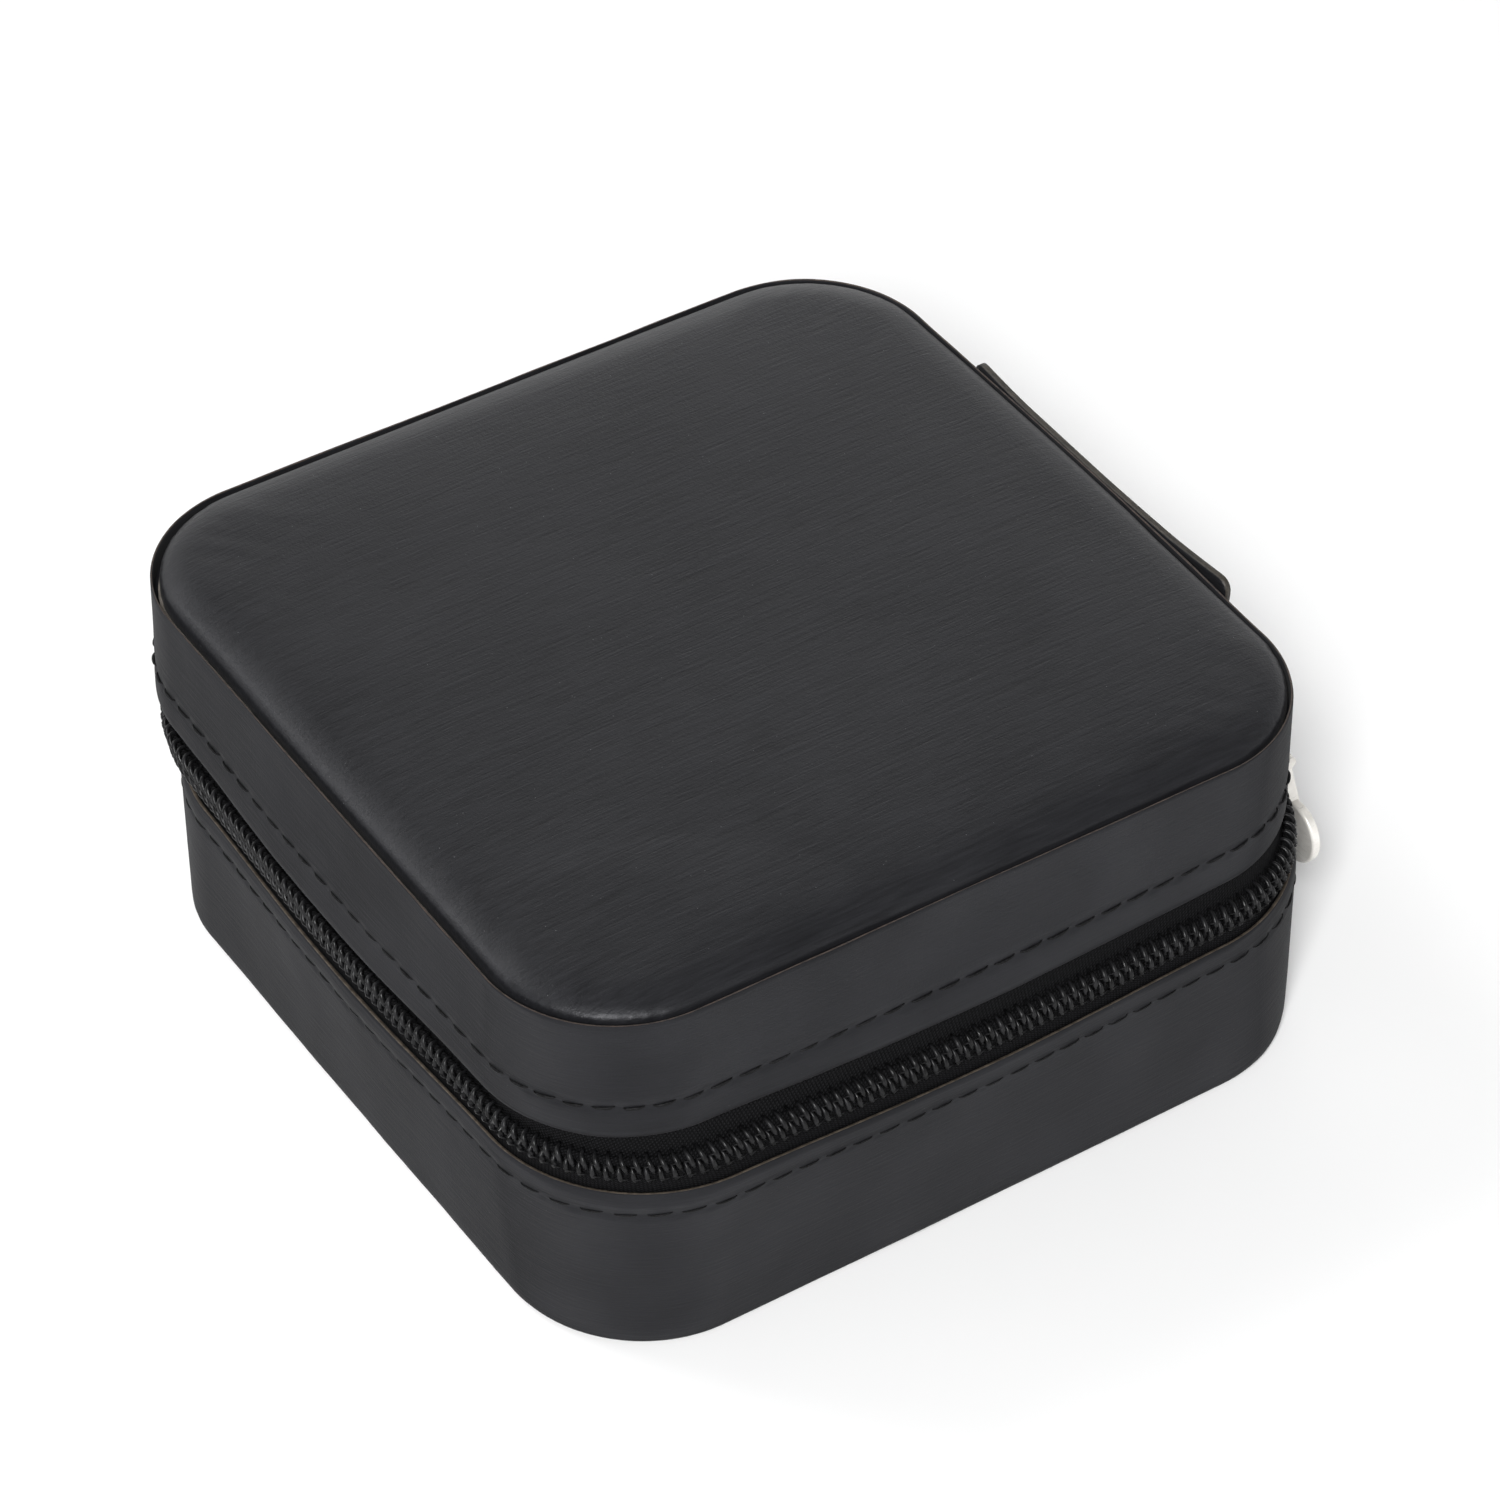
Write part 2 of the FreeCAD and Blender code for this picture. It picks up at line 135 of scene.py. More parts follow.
def place(s, z, out, shape):
    """Points at distance s round the case, height z, and out beyond the outline."""
    s, z, out = np.broadcast_arrays(np.asarray(s, float), z, out)
    turned = np.mod(s, AROUND)
    seg = np.minimum(np.searchsorted(ENDS, turned, side="right"), 8)
    u = (turned - (ENDS - LENGTHS)[seg]) / LENGTHS[seg]
    hx, hy, r, cx, bow, rear, cy, turn = (np.broadcast_to(v, s.shape) for v in shape(z))
    x, y, nx, ny, v = (np.zeros(s.shape) for _ in range(5))
    bulge = bow.copy()
    for k, (sx, sy, start) in CORNERS.items():
        m = seg == k
        a = np.radians(start + 90 * u[m])
        nx[m], ny[m] = np.cos(a), np.sin(a)
        x[m] = sx * (hx[m] - r[m]) + r[m] * nx[m]
        y[m] = sy * (hy[m] - r[m]) + r[m] * ny[m]
    for k in (0, 8):
        m = seg == k
        v[m] = u[m] / 2 + (0.5 if k == 0 else 0.0)
        nx[m], ny[m] = 0, 1
        x[m], y[m] = (hx[m] - r[m]) * (1 - 2 * v[m]), hy[m]
        bulge[m] = rear[m]
    for k, (ax, ay) in {2: (-1, 0), 4: (0, -1), 6: (1, 0)}.items():
        m = seg == k
        v[m] = u[m]
        nx[m], ny[m] = ax, ay
        run_x, run_y = (hx[m] - r[m]) * (2 * v[m] - 1), (hy[m] - r[m]) * (2 * v[m] - 1)
        x[m] = ax * hx[m] + (run_x if ay else 0)
        y[m] = ay * hy[m] + (run_y * ax if ax else 0)
    grow = out + bulge * np.sin(np.pi * v) ** 1.3
    x, y = x + nx * grow, y + ny * grow
    return np.stack([cx + x * np.cos(turn) - y * np.sin(turn),
                     cy + x * np.sin(turn) + y * np.cos(turn), z], -1)


# ------------------------------------------------------------------ meshes
def new_object(name, verts, faces, mats, face_mat=None, uv=None, smooth=True):
    mesh = bpy.data.meshes.new(name)
    mesh.from_pydata((np.asarray(verts) * MM).tolist(), [], faces)
    for m in mats if isinstance(mats, (list, tuple)) else [mats]:
        mesh.materials.append(m)
    if face_mat is not None:
        mesh.polygons.foreach_set("material_index", face_mat)
    mesh.polygons.foreach_set("use_smooth", [smooth] * len(mesh.polygons))
    if uv is not None:
        layer = mesh.uv_layers.new(name="UVMap")
        layer.data.foreach_set("uv", np.asarray(uv, np.float32).ravel())
    mesh.update()
    obj = bpy.data.objects.new(name, mesh)
    bpy.context.scene.collection.objects.link(obj)
    return obj


def face_outward(obj):
    bm = bmesh.new()
    bm.from_mesh(obj.data)
    bmesh.ops.recalc_face_normals(bm, faces=bm.faces)
    bm.to_mesh(obj.data)
    bm.free()


def sweep(name, grid, s, mats, loop=True, row_mat=None):
    """Closed skin through grid[row][station]; rows close on themselves, stations if loop."""
    rows, cols = grid.shape[:2]
    gap = np.linalg.norm(np.roll(grid, -1, axis=0) - grid, axis=-1).mean(1)
    v = np.concatenate([[0], np.cumsum(gap)])
    u = np.append(s, s[0] + AROUND) if loop else s
    faces, uv, face_mat = [], [], []
    for i in range(rows):
        k = (i + 1) % rows
        for j in range(cols if loop else cols - 1):
            n = (j + 1) % cols
            faces.append((i * cols + j, i * cols + n, k * cols + n, k * cols + j))
            uv += [(u[j], v[i]), (u[j + 1], v[i]), (u[j + 1], v[i + 1]), (u[j], v[i + 1])]
            face_mat.append(row_mat[i] if row_mat else 0)
    if not loop:
        for j in (0, cols - 1):
            ring = [i * cols + j for i in range(rows)]
            faces.append(ring if j == 0 else ring[::-1])
            uv += [(u[j], v[i]) for i in range(rows)]
            face_mat.append(0)
    obj = new_object(name, grid.reshape(-1, 3), faces, mats, face_mat, uv)
    face_outward(obj)
    return obj


def fill_between(points, step):
    """Adds points to a profile so that none of its spans is longer than step."""
    out = []
    for a, b in zip(points, points[1:] + points[:1]):
        n = max(1, int(math.ceil(math.dist(a[:2], b[:2]) / step)))
        out += [tuple(p + (q - p) * i / n for p, q in zip(a, b)) for i in range(n)]
    return out


def tubes(paths, radius, sides, mat, name):
    """One mesh of many short round-ended tubes; paths is (tube, point, xyz)."""
    count, length = paths.shape[:2]
    run = np.gradient(paths, axis=1)
    run /= np.linalg.norm(run, axis=-1, keepdims=True)
    up = np.zeros_like(run)
    up[..., 2] = 1.0
    side = np.cross(run, up)
    weak = np.linalg.norm(side, axis=-1) < 0.2
    side[weak] = np.cross(run, np.array([0.0, 1.0, 0.0]))[weak]
    side /= np.linalg.norm(side, axis=-1, keepdims=True)
    over = np.cross(side, run)
    swell = np.sin(np.linspace(0.12, 1, length) * np.pi / 2 * 2).clip(0.35, 1) ** 0.5
    swell = np.minimum(swell, swell[::-1])
    a = np.arange(sides) * 2 * np.pi / sides
    ring = side[:, :, None] * np.cos(a)[:, None] + over[:, :, None] * np.sin(a)[:, None]
    verts = paths[:, :, None] + ring * radius * swell[None, :, None, None]
    faces = []
    for t in range(count):
        first = t * length * sides
        for i in range(length - 1):
            for j in range(sides):
                n = (j + 1) % sides
                faces.append((first + i * sides + j, first + i * sides + n,
                              first + (i + 1) * sides + n, first + (i + 1) * sides + j))
        faces.append([first + j for j in range(sides)][::-1])
        faces.append([first + (length - 1) * sides + j for j in range(sides)])
    obj = new_object(name, verts.reshape(-1, 3), faces, mat)
    face_outward(obj)
    return obj


# ------------------------------------------------------------------ materials
class Shader:
    """A Principled material and short ways to add nodes to it."""

    def __init__(self, name):
        self.mat = bpy.data.materials.new(name)
        self.mat.use_nodes = True
        self.tree = self.mat.node_tree
        self.bsdf = self.tree.nodes["Principled BSDF"]

    def node(self, kind, **props):
        n = self.tree.nodes.new(kind)
        for key, value in props.items():
            setattr(n, key, value)
        return n

    def wire(self, a, b):
        self.tree.links.new(a, b)

    def coords(self, source, scale):
        """Coordinates in millimetres, stretched by scale."""
        tex = self.node("ShaderNodeTexCoord")
        out = tex.outputs["UV" if source == "uv" else "Object"]
        unit = 1.0 if source == "uv" else 1 / MM
        mapping = self.node("ShaderNodeMapping")
        mapping.inputs["Scale"].default_value = [unit * v for v in scale]
        self.wire(out, mapping.inputs["Vector"])
        return mapping.outputs["Vector"]

    def noise(self, vector, scale=1.0, detail=2.0, rough=0.5, distortion=0.0):
        n = self.node("ShaderNodeTexNoise")
        n.inputs["Scale"].default_value = scale
        n.inputs["Detail"].default_value = detail
        n.inputs["Roughness"].default_value = rough
        n.inputs["Distortion"].default_value = distortion
        self.wire(vector, n.inputs["Vector"])
        return n.outputs["Fac"]

    def math(self, op, a, b=None, c=None):
        n = self.node("ShaderNodeMath", operation=op)
        for i, v in enumerate((a, b, c)):
            if v is None:
                continue
            if isinstance(v, (int, float)):
                n.inputs[i].default_value = v
            else:
                self.wire(v, n.inputs[i])
        return n.outputs[0]

    def ramp(self, value, low, high, out_low=0.0, out_high=1.0):
        n = self.node("ShaderNodeMapRange")
        self.wire(value, n.inputs["Value"])
        for key, v in (("From Min", low), ("From Max", high),
                       ("To Min", out_low), ("To Max", out_high)):
            n.inputs[key].default_value = v
        return n.outputs["Result"]

    def blend(self, factor, a, b):
        n = self.node("ShaderNodeMix", data_type="RGBA")
        if isinstance(factor, (int, float)):
            n.inputs["Factor"].default_value = factor
        else:
            self.wire(factor, n.inputs["Factor"])
        for key, v in (("A", a), ("B", b)):
            socket = [i for i in n.inputs if i.name == key and i.type == "RGBA"][0]
            if isinstance(v, tuple):
                socket.default_value = (*v, 1.0)
            else:
                self.wire(v, socket)
        return [o for o in n.outputs if o.type == "RGBA"][0]

    def bump(self, height, depth_mm, strength=1.0, under=None):
        n = self.node("ShaderNodeBump")
        n.inputs["Strength"].default_value = strength
        n.inputs["Distance"].default_value = depth_mm * MM
        self.wire(height, n.inputs["Height"])
        if under is not None:
            self.wire(under, n.inputs["Normal"])
        return n.outputs["Normal"]

    def set(self, **values):
        for key, v in values.items():
            socket = self.bsdf.inputs[key.replace("_", " ")]
            if isinstance(v, bpy.types.NodeSocket):
                self.wire(v, socket)
            elif isinstance(v, tuple):
                socket.default_value = (*v, 1.0)
            else:
                socket.default_value = v


def leather(name, source, along, specks=0.0, matt=0.0, low_angle=0.3, face_on=0.3, mottle=1.0,
            brush=1.0, painted_reflection_arc=None):
    """Black brushed leather: long fine strokes on a soft satin skin.
    along is the coordinate that the strokes run along; low_angle and face_on are its shine at
    grazing and at square view; the last argument is a painted reflection: x, y and radius of a
    ring where the shine is raised to stand in for a reflected arc of light."""
    sh = Shader(name)

    def stretched(run, cross):
        scale = [cross, cross, cross]
        scale[along] = run
        return sh.coords(source, scale)

    stroke = sh.noise(stretched(0.11, 1.9), detail=3, rough=0.6, distortion=0.2)
    fine = sh.noise(stretched(0.25, 4.2), detail=2, rough=0.6)
    grain = sh.noise(sh.coords(source, (2.6, 2.6, 2.6)), detail=3, rough=0.7)
    cloud = sh.noise(sh.coords(source, (0.06, 0.06, 0.06)), detail=2, rough=0.5)
    lines = sh.math("ADD", sh.math("MULTIPLY", stroke, 0.55), sh.math("MULTIPLY", fine, 0.45))
    tone = sh.math("ADD", sh.math("MULTIPLY", lines, 1 - 0.4 * mottle),
                   sh.math("MULTIPLY", cloud, 0.4 * mottle))
    colour = sh.blend(sh.ramp(tone, 0.30, 0.70), (0.0050, 0.0051, 0.0060),
                      (0.0146, 0.0149, 0.0174))
    if specks:
        spot = sh.coords(source, (0.17, 0.17, 0.17))
        dots = sh.node("ShaderNodeTexVoronoi")
        sh.wire(spot, dots.inputs["Vector"])
        near = sh.ramp(dots.outputs["Distance"], 0.022, 0.042, 1.0, 0.0)
        few = sh.math("GREATER_THAN", sh.noise(spot, detail=0), 0.5)
        colour = sh.blend(sh.math("MULTIPLY", sh.math("MULTIPLY", near, few), specks), colour,
                          (0.22, 0.22, 0.23))
    rough = sh.math("ADD", sh.ramp(lines, 0.3, 0.7, 0.38 + matt, 0.38 + 0.18 * brush + matt),
                    sh.ramp(cloud, 0.3, 0.7, -0.04 * mottle, 0.05 * mottle))
    angle = sh.node("ShaderNodeLayerWeight")
    angle.inputs["Blend"].default_value = 0.5
    facing = angle.outputs["Facing"]
    shine = sh.math("MINIMUM", sh.ramp(facing, 0.4, 0.6, 0.3, low_angle),
                    sh.ramp(facing, 0.26, 0.37, face_on, 0.3))
    shine = sh.math("MULTIPLY", shine,
                    sh.ramp(cloud, 0.3, 0.7, 1 - 0.2 * mottle, 1 + 0.2 * mottle))
    # Painted reflection: the shine is raised in a soft ring to stand in for a reflected arc of
    # light.
    if painted_reflection_arc:
        away = sh.node("ShaderNodeVectorMath", operation="DISTANCE")
        sh.wire(sh.coords(source, (1, 1, 0)), away.inputs[0])
        away.inputs[1].default_value = (painted_reflection_arc[0], painted_reflection_arc[1], 0)
        away = away.outputs["Value"]
        reflection_band = sh.math("MULTIPLY", sh.ramp(away, painted_reflection_arc[2] - 0.7, painted_reflection_arc[2] + 0.7, 1.0, 0.0),
                       sh.ramp(away, painted_reflection_arc[2] - 6.0, painted_reflection_arc[2] - 0.6, 0.15, 1.0))
        shine = sh.math("MULTIPLY", shine, sh.ramp(reflection_band, 0.0, 1.0, 1.0, 1.14))
    low = sh.bump(cloud, 0.5 * mottle, 0.5)
    mid = sh.bump(grain, 0.05, 0.6, low)
    top = sh.bump(lines, 0.12 * brush, 0.7, mid)
    sh.set(Base_Color=colour, Roughness=rough, Normal=top, Specular_IOR_Level=shine,
           Sheen_Weight=0.03, Sheen_Roughness=0.5)
    sh.bsdf.inputs["Specular Tint"].default_value = (0.955, 0.96, 1.0, 1.0)
    return sh.mat


def cut_edge(name, low, high):
    """Raw edge of the leather, where its fibres show."""
    sh = Shader(name)
    fibre = sh.noise(sh.coords("object", (1.1, 1.1, 1.1)), detail=4, rough=0.7)
    colour = sh.blend(sh.ramp(fibre, 0.35, 0.65), low, high)
    sh.set(Base_Color=colour, Roughness=0.55, Normal=sh.bump(fibre, 0.08, 0.7))
    return sh.mat


def thread(name):
    sh = Shader(name)
    twist = sh.noise(sh.coords("object", (4.5, 4.5, 1.5)), detail=2)
    colour = sh.blend(sh.ramp(twist, 0.35, 0.65), (0.002, 0.002, 0.002), (0.010, 0.010, 0.011))
    sh.set(Base_Color=colour, Roughness=0.55, Normal=sh.bump(twist, 0.05, 0.8),
           Specular_IOR_Level=0.12)
    return sh.mat


def woven(name, scale=0.42):
    """Close twill: two families of threads that pass over each other."""
    sh = Shader(name)
    parts = sh.node("ShaderNodeSeparateXYZ")
    sh.wire(sh.coords("uv", (1, 1, 1)), parts.inputs[0])
    warp = sh.math("SINE", sh.math("MULTIPLY", parts.outputs[0], math.pi / scale))
    lean = sh.math("ADD", parts.outputs[1], sh.math("MULTIPLY", parts.outputs[0], 0.5))
    weft = sh.math("SINE", sh.math("MULTIPLY", lean, math.pi / scale * 1.3))
    height = sh.math("MULTIPLY", sh.math("ABSOLUTE", warp), sh.math("ABSOLUTE", weft))
    fuzz = sh.noise(sh.coords("object", (2.4, 2.4, 2.4)), detail=3)
    tone = sh.math("ADD", sh.math("MULTIPLY", height, 0.7), sh.math("MULTIPLY", fuzz, 0.4))
    colour = sh.blend(sh.ramp(tone, 0.1, 0.9), (0.0012, 0.0012, 0.0014), (0.010, 0.010, 0.011))
    sh.set(Base_Color=colour, Roughness=0.8, Normal=sh.bump(height, 0.16, 0.9),
           Specular_IOR_Level=0.08)
    return sh.mat


def velvet(name, tone=1.0):
    sh = Shader(name)
    pile = sh.noise(sh.coords("object", (2.6, 2.6, 2.6)), detail=4, rough=0.7)
    nap = sh.noise(sh.coords("object", (0.12, 0.16, 0.12)), detail=2, rough=0.5)
    mixed = sh.math("ADD", sh.math("MULTIPLY", pile, 0.45), sh.math("MULTIPLY", nap, 0.55))
    dark, light = (0.011, 0.011, 0.012), (0.034, 0.034, 0.037)
    colour = sh.blend(sh.ramp(mixed, 0.34, 0.66), tuple(tone * c for c in dark),
                      tuple(tone * c for c in light))
    sh.set(Base_Color=colour, Roughness=0.92, Normal=sh.bump(pile, 0.12, 0.7),
           Sheen_Weight=0.55, Sheen_Roughness=0.35, Specular_IOR_Level=0.15)
    return sh.mat


def nylon(name):
    sh = Shader(name)
    wear = sh.noise(sh.coords("object", (0.9, 0.9, 0.9)), detail=3)
    colour = sh.blend(sh.ramp(wear, 0.35, 0.65), (0.003, 0.003, 0.0032), (0.010, 0.010, 0.011))
    sh.set(Base_Color=colour, Roughness=sh.ramp(wear, 0.3, 0.7, 0.26, 0.42),
           Normal=sh.bump(wear, 0.03, 0.4), Specular_IOR_Level=0.22)
    return sh.mat


def silver(name, metallic=1.0):
    sh = Shader(name)
    cloud = sh.noise(sh.coords("object", (0.5, 0.5, 0.5)), detail=3)
    scratch = sh.noise(sh.coords("object", (0.5, 0.5, 9.0)), detail=3, rough=0.7)
    colour = sh.blend(sh.ramp(cloud, 0.3, 0.7), (0.62, 0.60, 0.56), (0.80, 0.78, 0.74))
    sh.set(Base_Color=colour, Metallic=metallic, Normal=sh.bump(scratch, 0.012, 0.5),
           Roughness=sh.ramp(scratch, 0.3, 0.7, 0.24, 0.42))
    return sh.mat


def glass_mirror(name):
    sh = Shader(name)
    haze = sh.noise(sh.coords("object", (0.06, 0.06, 0.06)), detail=3)
    colour = sh.blend(sh.ramp(haze, 0.3, 0.7), (0.86, 0.88, 0.88), (0.92, 0.94, 0.94))
    sh.set(Base_Color=colour, Metallic=1.0, Roughness=sh.ramp(haze, 0.3, 0.7, 0.02, 0.05))
    return sh.mat


def card(name, low, high, grain):
    """Board or foam: pale, matt, speckled with fibres or cells."""
    sh = Shader(name)
    fibre = sh.noise(sh.coords("object", (grain, grain, grain)), detail=4, rough=0.7)
    sh.set(Base_Color=sh.blend(sh.ramp(fibre, 0.35, 0.65), low, high), Roughness=0.9,
           Normal=sh.bump(fibre, 0.1, 0.6))
    return sh.mat


WALL = leather("wall_leather", "uv", 0, specks=0.25, matt=0.28, low_angle=0.085, face_on=0.19)
# The top's last argument paints a reflected arc of light into its shine.
TOP = leather("top_leather", "object", 1, specks=0.8, mottle=0.35, brush=0.65,
              painted_reflection_arc=(54.8, -42.8, 36.9))
STRAP = leather("strap_leather", "object", 0)
BOTTOM = leather("bottom_leather", "object", 0)
CUT = cut_edge("cut_leather_edge", (0.014, 0.009, 0.007), (0.060, 0.040, 0.030))
TAN = cut_edge("tan_leather_edge", (0.030, 0.023, 0.017), (0.095, 0.076, 0.057))
STRAP_EDGE = cut_edge("strap_leather_edge", (0.014, 0.012, 0.009), (0.042, 0.035, 0.026))
THREAD = thread("black_thread")
TAPE = woven("zip_tape_weave")
NYLON = nylon("coil_nylon")
METAL = silver("silver_metal")
SATIN = silver("satin_metal", 0.15)
VELVET = velvet("velvet")
PALE_VELVET = velvet("lining_velvet", 1.35)
MIRROR = glass_mirror("mirror_glass")
BOARD = card("greyboard", (0.16, 0.14, 0.12), (0.26, 0.235, 0.205), 1.2)
DARK_BOARD = card("dark_board", (0.010, 0.010, 0.010), (0.030, 0.029, 0.028), 1.2)
FOAM = card("foam", (0.55, 0.5, 0.42), (0.72, 0.67, 0.58), 0.9)

# ------------------------------------------------------------------ leather side covers
STATIONS = 960
S = np.arange(STATIONS) * AROUND / STATIONS


def wavy(points, depth, size):
    """Slow outward and inward drift of the soft skin, by place."""
    flat = points.reshape(-1, 3)
    out = [noise.noise(Vector((p[0] / size, p[1] / size, p[2] / size * 0.6))) for p in flat]
    return np.array(out).reshape(points.shape[:-1]) * depth


def cover(name, profile, shape, stitch_z, body, node):
    """Side cover: profile is (out, z, material) going round the section of the wall."""
    profile = fill_between(profile, 0.42)
    out = np.array([p[0] for p in profile])[:, None]
    z = np.array([p[1] for p in profile])[:, None] + 0 * S[None]
    rest = place(S[None], z, out, shape)
    outer = (out > -0.9)
    pull = np.exp(-((z - stitch_z) / 0.5) ** 2)
    holes = 0.5 - 0.5 * np.cos(2 * np.pi * S[None] / STITCH)
    seam = -pull * (0.09 + 0.12 * (1 - holes) ** 2)
    drift = wavy(rest, 0.22, 17.0) + wavy(rest, 0.08, 6.0)
    fade = np.clip((out + 0.5) * 2, 0, 1)
    grid = place(S[None], z, out + np.where(outer, seam + drift * fade, 0), shape)
    obj = sweep(name, grid, S, [WALL, CUT, TAN], row_mat=[int(round(p[2])) for p in profile])
    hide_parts(node)
    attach(obj, body)


base_profile = [
    (-1.75, 0.25, 0), (-1.2, 0.05, 0), (-0.75, 0.1, 0), (-0.4, 0.32, 0), (-0.15, 0.75, 0),
    (-0.03, 1.4, 0), (0.0, 2.4, 0), (0.0, EDGE_Z - 4.0, 0), (0.04, EDGE_Z - 1.6, 0),
    (0.0, EDGE_Z - 0.75, 0), (-0.08, EDGE_Z - 0.35, 0), (-0.2, EDGE_Z - 0.12, 0),
    (-0.34, EDGE_Z, 2), (-0.55, EDGE_Z + 0.01, 2), (-0.75, EDGE_Z - 0.15, 0),
    (-0.95, EDGE_Z - 0.5, 0),
    (-1.0, EDGE_Z - 4.9, 0),
    (-1.68, EDGE_Z - 5.0, 0), (-1.7, 3.0, 0)]
cover("base_cover", base_profile, base_shape, BASE_STITCH_Z, "base", "base_side_leather")

lid_profile = [
    (-1.0, LID_Z + 4.6, 0), (-1.0, LID_Z + 0.5, 0), (-0.85, LID_Z, 0),
    (-0.45, LID_Z - 0.2, 0), (-0.1, LID_Z - 0.02, 0), (0.04, LID_Z + 0.6, 0),
    (0.06, LID_Z + 2.2, 0), (0.0, LID_Z + 4.5, 0), (0.0, RIM_Z - 1.2, 0),
    (-0.02, RIM_Z - 0.22, 0), (-0.08, RIM_Z - 0.04, 0), (-0.14, RIM_Z, 1),
    (-0.32, RIM_Z - 0.03, 0), (-0.40, RIM_Z - 0.2, 0), (-0.42, RIM_Z - 2.9, 0),
    (-1.0, RIM_Z - 3.0, 0),
    (-1.02, RIM_Z - 3.9, 0), (-1.68, RIM_Z - 4.0, 0), (-1.7, LID_Z + 4.7, 0)]
cover("lid_cover", lid_profile, lid_shape, LID_STITCH_Z, "lid", "lid_side_leather")


# ------------------------------------------------------------------ stitching
def stitch_row(name, z, shape, body, radius, sunk, tilt=0.07):
    """Short slanted stitches, each dipping into its holes at both ends."""
    centre = STITCH * (np.arange(int(AROUND / STITCH)) + 0.5)
    along = np.linspace(-1, 1, 11)
    wander = np.array([noise.noise(Vector((c * 0.9, z, 3.1))) for c in centre])[:, None]
    half = STITCH * (0.39 + 0.05 * wander)
    lift = 0.15 * (1 - along ** 4) - 0.24 * np.abs(along) ** 8
    s = centre[:, None] + along[None] * half
    height = z + (tilt + 0.05 * wander) * along[None] * half + 0.14 * wander
    paths = place(s, height, lift[None] - sunk + 0.04 * wander, shape)
    obj = tubes(paths, radius, 7, THREAD, name)
    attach(obj, body)


stitch_row("lid_stitching", LID_STITCH_Z, lid_shape, "lid", 0.21, 0.1)
stitch_row("base_stitching", BASE_STITCH_Z, base_shape, "base", 0.15, 0.11)


# ------------------------------------------------------------------ padded top
def remesh(obj, voxel_mm):
    mod = obj.modifiers.new("remesh", "REMESH")
    mod.mode = "VOXEL"
    mod.voxel_size = voxel_mm * MM
    mod.use_smooth_shade = True
    apply_all(obj)


def apply_all(obj):
    graph = bpy.context.evaluated_depsgraph_get()
    graph.update()
    mesh = bpy.data.meshes.new_from_object(obj.evaluated_get(graph), depsgraph=graph)
    mats = list(obj.data.materials)
    obj.modifiers.clear()
    obj.data = mesh
    mesh.materials.clear()
    for m in mats:
        mesh.materials.append(m)
    mesh.polygons.foreach_set("use_smooth", [True] * len(mesh.polygons))


def coordinates(obj):
    co = np.empty(len(obj.data.vertices) * 3)
    obj.data.vertices.foreach_get("co", co)
    return co.reshape(-1, 3)


def puff(obj, pressure, cap_mm, held):
    """Blows the skin out as cloth, no point further than cap_mm; held is a pin weight."""
    rest = coordinates(obj)
    group = obj.vertex_groups.new(name="pin")
    weight = held(rest / MM)
    for i in np.nonzero(weight > 0)[0]:
        group.add([int(i)], float(weight[i]), "REPLACE")
    mod = obj.modifiers.new("cloth", "CLOTH")
    cloth = mod.settings
    cloth.quality = 6
    cloth.mass = 0.15
    cloth.tension_stiffness = cloth.compression_stiffness = 12
    cloth.shear_stiffness = 6
    cloth.bending_stiffness = 0.4
    cloth.use_pressure = True
    cloth.uniform_pressure_force = pressure
    cloth.vertex_group_mass = "pin"
    cloth.effector_weights.gravity = 0
    scene = bpy.context.scene
    for f in range(1, 21):
        scene.frame_set(f)
    graph = bpy.context.evaluated_depsgraph_get()
    shaped = np.empty(len(rest) * 3)
    obj.evaluated_get(graph).data.vertices.foreach_get("co", shaped)
    move = shaped.reshape(-1, 3) - rest
    obj.modifiers.clear()
    obj.vertex_groups.clear()
    far = np.linalg.norm(move, axis=1).max()
    move *= min(1.0, cap_mm * MM / max(far, 1e-9))
    obj.data.vertices.foreach_set("co", (rest + move).ravel())
    obj.data.update()
    scene.frame_set(1)


def relax(obj, rounds, factor=0.5):
    mod = obj.modifiers.new("smooth", "SMOOTH")
    mod.iterations = rounds
    mod.factor = factor
    apply_all(obj)


def subdivide(obj, level=1):
    mod = obj.modifiers.new("subdivision", "SUBSURF")
    mod.levels = mod.render_levels = level
    apply_all(obj)


def padded_top():
    pad_profile = [(-0.85, -2.6), (-0.85, -0.5), (-0.92, -0.22), (-1.12, 0.0), (-1.5, 0.22),
                   (-2.1, 0.5), (-2.9, 0.8), (-3.9, 1.06), (-5.2, 1.24), (-7.0, 1.31),
                   (-10.0, 1.32)]
    s = S[::3]
    rows = [place(s, RIM_Z + 0 * s, out, lid_shape) for out, _ in pad_profile]
    for row, (_, z) in zip(rows, pad_profile):
        row[:, :2] += PAD_SHIFT
        row[:, 2] = RIM_Z + z
    n = len(s)
    verts = np.concatenate(rows)
    faces = [(i * n + j, i * n + (j + 1) % n, (i + 1) * n + (j + 1) % n, (i + 1) * n + j)
             for i in range(len(rows) - 1) for j in range(n)]
    last = (len(rows) - 1) * n
    faces += [list(range(last, last + n)), list(range(n))[::-1]]
    obj = new_object("lid_padded_top", verts, faces, TOP)
    face_outward(obj)
    remesh(obj, 0.7)

    def held(points):
        over = np.abs(points[:, :2] - np.array([SHIFT, LID_BACK])) - (np.array(RIM[1:3]) - RIM[3])
        inward = (RIM[3] - np.linalg.norm(np.maximum(over, 0), axis=1)
                  - np.minimum(over.max(1), 0))
        return np.where((points[:, 2] < RIM_Z - 0.3) | (inward < 1.9), 1.0, 0.0)

    puff(obj, 4.0, CROWN_Z - RIM_Z - 1.3, held)
    relax(obj, 2)
    subdivide(obj)
    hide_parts("lid_top_leather", "lid_foam")
    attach(obj, "lid")


padded_top()


